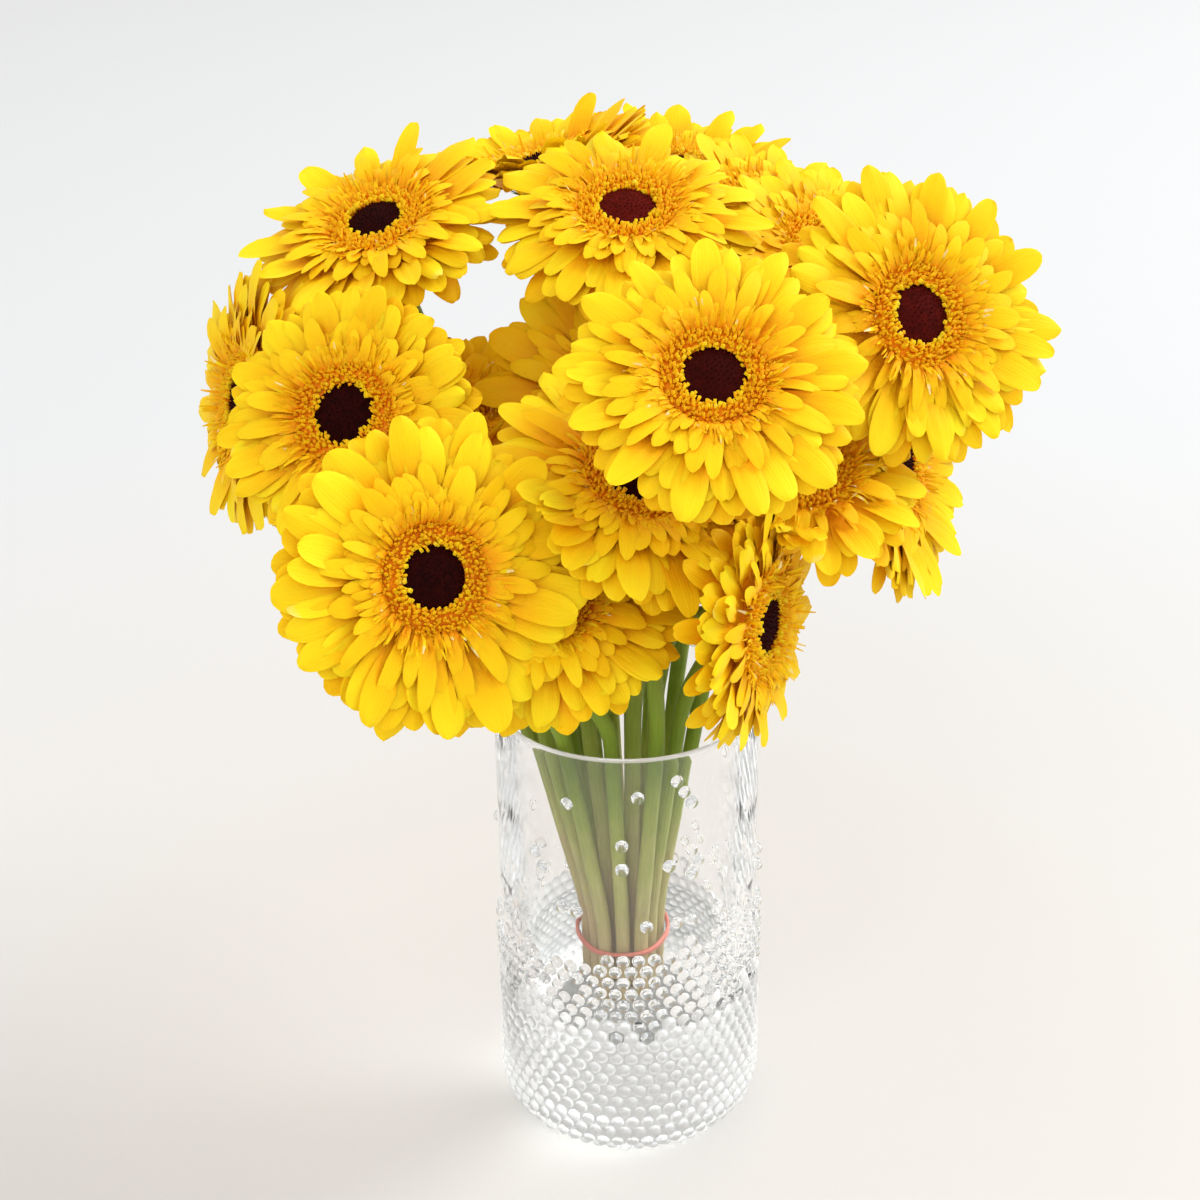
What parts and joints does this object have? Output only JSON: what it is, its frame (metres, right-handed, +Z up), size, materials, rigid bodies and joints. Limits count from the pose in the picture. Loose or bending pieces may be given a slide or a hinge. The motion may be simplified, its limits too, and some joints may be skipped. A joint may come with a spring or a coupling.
{
  "type": "gerberas in a vase",
  "caption": "Bunch of yellow gerberas with dark centres, tied with a rubber band, standing in a clear glass cylinder vase with glass beads stuck on its outside.",
  "frame": {"origin": "the vase's axis, at the flat underside that it stands on", "axes": "+Z up along the vase's axis; -Y is the front, the side that the picture shows; +X is to the right seen from the front"},
  "size_m": [0.3846, 0.385, 0.4503],
  "materials": {
    "petals": "soft petal, satin, with fine lengthwise grooves",
    "disc": "velvety dark maroon florets",
    "stem": "fresh green stem with fine hairs, paler near its cut end",
    "glass": "clear polished glass with domed beads",
    "water": "clear still water",
    "rubber_band": "matte coral-red rubber"
  },
  "bodies": {
    "root": {"vase": "glass", "water": "water", "rubber_band": "rubber_band", "petals_01": "petals", "disc_01": "disc", "stem_01": "stem", "petals_02": "petals", "disc_02": "disc", "stem_02": "stem", "petals_03": "petals", "disc_03": "disc", "stem_03": "stem", "petals_04": "petals", "disc_04": "disc", "stem_04": "stem", "petals_05": "petals", "disc_05": "disc", "stem_05": "stem", "petals_06": "petals", "disc_06": "disc", "stem_06": "stem", "petals_07": "petals", "disc_07": "disc", "stem_07": "stem", "petals_08": "petals", "disc_08": "disc", "stem_08": "stem", "petals_09": "petals", "disc_09": "disc", "stem_09": "stem", "petals_10": "petals", "disc_10": "disc", "stem_10": "stem", "petals_11": "petals", "disc_11": "disc", "stem_11": "stem", "petals_12": "petals", "disc_12": "disc", "stem_12": "stem", "petals_13": "petals", "disc_13": "disc", "stem_13": "stem", "petals_14": "petals", "disc_14": "disc", "stem_14": "stem", "petals_15": "petals", "disc_15": "disc", "stem_15": "stem", "petals_16": "petals", "disc_16": "disc", "stem_16": "stem", "petals_17": "petals", "disc_17": "disc", "stem_17": "stem", "petals_18": "petals", "disc_18": "disc", "stem_18": "stem"}
  },
  "joints": []
}
